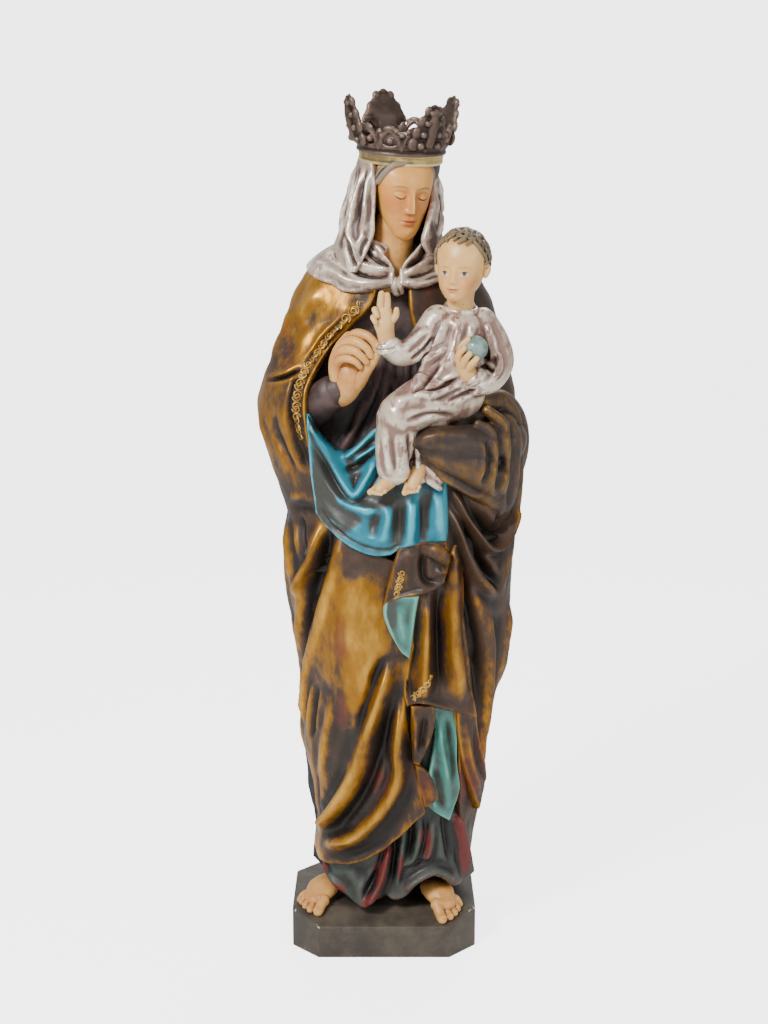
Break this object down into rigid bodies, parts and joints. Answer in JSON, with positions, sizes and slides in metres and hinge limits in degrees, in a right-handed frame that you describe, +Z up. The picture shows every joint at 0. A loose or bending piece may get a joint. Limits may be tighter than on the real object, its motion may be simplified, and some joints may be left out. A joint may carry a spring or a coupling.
{
  "type": "virgin and child statue",
  "caption": "Standing crowned virgin who holds the blessing child with an orb, in painted and gilded drapery on a low eight-sided plinth.",
  "frame": {"origin": "centre of the plinth's flat underside", "axes": "+Z up, the figure faces -Y, and +X is the viewer's right as it faces the figure"},
  "size_m": [0.3859, 0.3, 1.2039],
  "materials": {
    "gilt_mantle": "worn antique gold leaf over brown glaze, semi-gloss",
    "turquoise_lining": "metallic turquoise glaze with brown grime",
    "dark_undergown": "dark brown glaze, worn to dark red on the folds",
    "silvered_veil": "worn pinkish silver leaf",
    "silvered_gown": "worn champagne silver leaf over red bole",
    "painted_flesh": "smooth varnished flesh paint",
    "painted_hair": "grey-brown paint",
    "painted_orb": "grey-teal paint",
    "pale_fillet": "pale olive gold",
    "browned_crown": "browned gilding with copper tones",
    "brown_plinth": "dark brown paint over plaster, chipped white at the edges"
  },
  "bodies": {
    "root": {"virgin_and_child": "gilt_mantle", "crown": "browned_crown", "plinth": "brown_plinth"}
  },
  "joints": []
}
